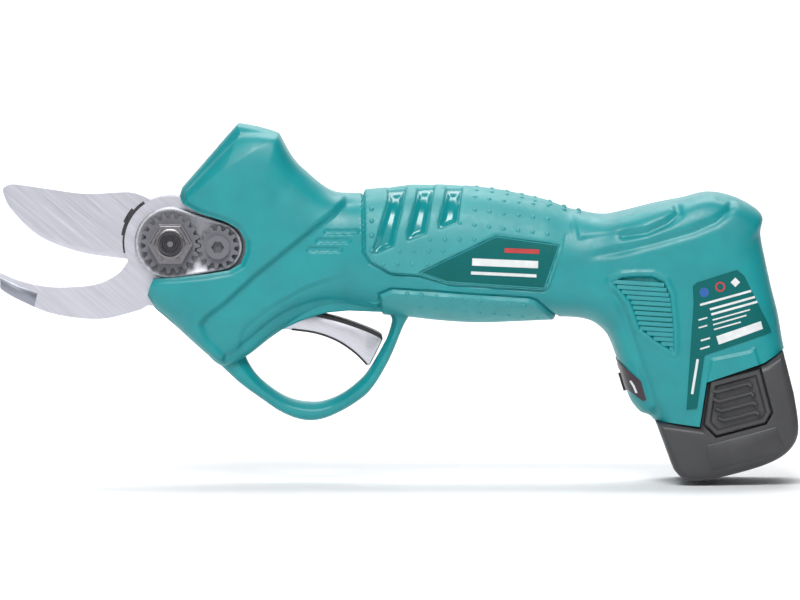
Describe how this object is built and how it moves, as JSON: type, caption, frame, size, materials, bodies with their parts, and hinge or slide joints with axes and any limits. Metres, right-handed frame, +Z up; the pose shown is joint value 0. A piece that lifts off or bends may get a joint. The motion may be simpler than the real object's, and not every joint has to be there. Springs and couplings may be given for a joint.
{
  "type": "battery pruner",
  "caption": "Battery bypass pruner with pistol housing, trigger guard, geared blade drive, rubber grip pads and slide-in battery pack.",
  "frame": {"origin": "blade pivot axis where it crosses the housing's parting plane", "axes": "+X from the pivot towards the battery, +Z up, +Y towards the right housing half"},
  "size_m": [0.2861, 0.0514, 0.1287],
  "materials": {
    "teal_plastic": "fine textured moulded nylon",
    "dark_teal_rubber": "soft overmould with raised dots",
    "decal_green": "smooth blank sticker",
    "blade_steel": "ground steel",
    "cast_alloy": "cast and machined",
    "gunmetal": "blackened steel",
    "gear_steel": "hobbed steel",
    "bronze": "sintered bronze",
    "pack_plastic": "fine textured moulded nylon",
    "black_gloss": "polished panel",
    "black_plastic": "moulded",
    "trigger_metal": "satin",
    "copper": "wound and plated",
    "board_green": "laminate",
    "wire_red": "insulated",
    "cell_wrap": "wrapped cell",
    "lens_clear": "clear lens",
    "bright_steel": "polished"
  },
  "bodies": {
    "tool_body": {"head_frame": "cast_alloy", "head_plate": "cast_alloy", "counter_blade": "blade_steel", "pivot_bolt": "gunmetal", "pivot_nut": "gunmetal", "lock_gear": "gunmetal", "lock_screw": "gunmetal", "pivot_bush": "bronze", "thrust_washer": "bronze", "frame_bolts": "gunmetal", "gearbox_case": "cast_alloy", "ring_gear": "gear_steel", "shaft_bearings": "bright_steel", "motor_can": "gunmetal", "motor_stator": "copper", "motor_end_cap": "black_plastic", "motor_bearings": "bright_steel", "housing_left": "teal_plastic", "housing_right": "teal_plastic", "grip_upper_left": "dark_teal_rubber", "grip_upper_right": "dark_teal_rubber", "grip_lower_left": "dark_teal_rubber", "grip_lower_right": "dark_teal_rubber", "side_badges": "decal_green", "rating_label": "decal_green", "control_panel": "black_gloss", "indicator_lens": "lens_clear", "housing_screws": "gunmetal", "trigger_pin": "bright_steel", "trigger_spring": "bright_steel", "trigger_switch": "black_plastic", "main_board": "board_green", "contact_block": "black_plastic", "contact_blades": "copper", "motor_leads": "wire_red", "battery_leads": "wire_red"},
    "blade": {"cutting_blade": "blade_steel", "sector_gear": "gear_steel", "sector_rivets": "bright_steel"},
    "output_shaft": {"output_carrier": "gear_steel", "bevel_pinion": "gear_steel"},
    "carrier_1": {"first_carrier": "gear_steel"},
    "rotor": {"motor_rotor": "gear_steel", "motor_shaft": "bright_steel", "sun_gear": "gear_steel"},
    "trigger": {"trigger": "trigger_metal"},
    "power_button": {"power_button": "black_plastic"},
    "pack": {"battery_case": "pack_plastic", "battery_top": "black_plastic", "battery_cells": "cell_wrap", "battery_board": "board_green", "battery_terminals": "copper"},
    "release_left": {"release_left": "pack_plastic"},
    "release_right": {"release_right": "pack_plastic"},
    "planet_1a": {"planet_1a": "gear_steel"},
    "planet_1b": {"planet_1b": "gear_steel"},
    "planet_1c": {"planet_1c": "gear_steel"},
    "planet_2a": {"planet_2a": "gear_steel"},
    "planet_2b": {"planet_2b": "gear_steel"},
    "planet_2c": {"planet_2c": "gear_steel"}
  },
  "joints": [
    {"name": "motor_spin", "type": "hinge", "parent": "tool_body", "child": "rotor", "pos_m": [0.0717, 0.001, 0], "axis": [-1, 0, 0], "range_deg": [-810, 2835]},
    {"name": "first_carrier_spin", "type": "hinge", "parent": "tool_body", "child": "carrier_1", "pos_m": [0.0564, 0.001, 0], "axis": [-1, 0, 0], "range_deg": [-180.5, 630.5]},
    {"name": "output_spin", "type": "hinge", "parent": "tool_body", "child": "output_shaft", "pos_m": [0.0442, 0.001, 0], "axis": [-1, 0, 0], "range_deg": [-40.5, 140.5]},
    {"name": "blade_pivot", "type": "hinge", "parent": "tool_body", "child": "blade", "pos_m": [0, 0, 0], "axis": [0, -1, 0], "range_deg": [-8.05, 28.05]},
    {"name": "planet_1a_spin", "type": "hinge", "parent": "carrier_1", "child": "planet_1a", "pos_m": [0.0626, 0.00843, 0], "axis": [-1, 0, 0], "range_deg": [-1764.5, 504.5]},
    {"name": "planet_1b_spin", "type": "hinge", "parent": "carrier_1", "child": "planet_1b", "pos_m": [0.0626, -0.00271, 0.00643], "axis": [-1, 0, 0], "range_deg": [-1764.5, 504.5]},
    {"name": "planet_1c_spin", "type": "hinge", "parent": "carrier_1", "child": "planet_1c", "pos_m": [0.0626, -0.00271, -0.00643], "axis": [-1, 0, 0], "range_deg": [-1764.5, 504.5]},
    {"name": "planet_2a_spin", "type": "hinge", "parent": "output_shaft", "child": "planet_2a", "pos_m": [0.0504, 0.00843, 0], "axis": [-1, 0, 0], "range_deg": [-392.5, 112.5]},
    {"name": "planet_2b_spin", "type": "hinge", "parent": "output_shaft", "child": "planet_2b", "pos_m": [0.0504, -0.00271, 0.00643], "axis": [-1, 0, 0], "range_deg": [-392.5, 112.5]},
    {"name": "planet_2c_spin", "type": "hinge", "parent": "output_shaft", "child": "planet_2c", "pos_m": [0.0504, -0.00271, -0.00643], "axis": [-1, 0, 0], "range_deg": [-392.5, 112.5]},
    {"name": "trigger_pull", "type": "hinge", "parent": "tool_body", "child": "trigger", "pos_m": [0.036, 0, -0.024], "axis": [0, -1, 0], "range_deg": [0, 9], "stiffness_Nm_per_rad": 0.6, "springref_deg": -11.46},
    {"name": "power_button_press", "type": "slide", "parent": "tool_body", "child": "power_button", "axis": [0.9529, 0, 0.3032], "range_m": [0, 0.0008], "stiffness_N_per_m": 400, "springref_m": -0.002},
    {"name": "battery_slide", "type": "slide", "parent": "tool_body", "child": "pack", "axis": [0.2588, 0, -0.9659], "range_m": [0, 0.075]},
    {"name": "release_left_press", "type": "slide", "parent": "pack", "child": "release_left", "axis": [0, 1, 0], "range_m": [0, 0.0012], "stiffness_N_per_m": 1500, "springref_m": -0.002},
    {"name": "release_right_press", "type": "slide", "parent": "pack", "child": "release_right", "axis": [0, -1, 0], "range_m": [0, 0.0012], "stiffness_N_per_m": 1500, "springref_m": -0.002}
  ],
  "couplings": [
    {"joint": "first_carrier_spin", "follows": "motor_spin", "ratio": 0.22222},
    {"joint": "output_spin", "follows": "motor_spin", "ratio": 0.049383},
    {"joint": "blade_pivot", "follows": "motor_spin", "ratio": 0.0098765},
    {"joint": "planet_1a_spin", "follows": "motor_spin", "ratio": -0.62222},
    {"joint": "planet_1b_spin", "follows": "motor_spin", "ratio": -0.62222},
    {"joint": "planet_1c_spin", "follows": "motor_spin", "ratio": -0.62222},
    {"joint": "planet_2a_spin", "follows": "motor_spin", "ratio": -0.13827},
    {"joint": "planet_2b_spin", "follows": "motor_spin", "ratio": -0.13827},
    {"joint": "planet_2c_spin", "follows": "motor_spin", "ratio": -0.13827}
  ]
}
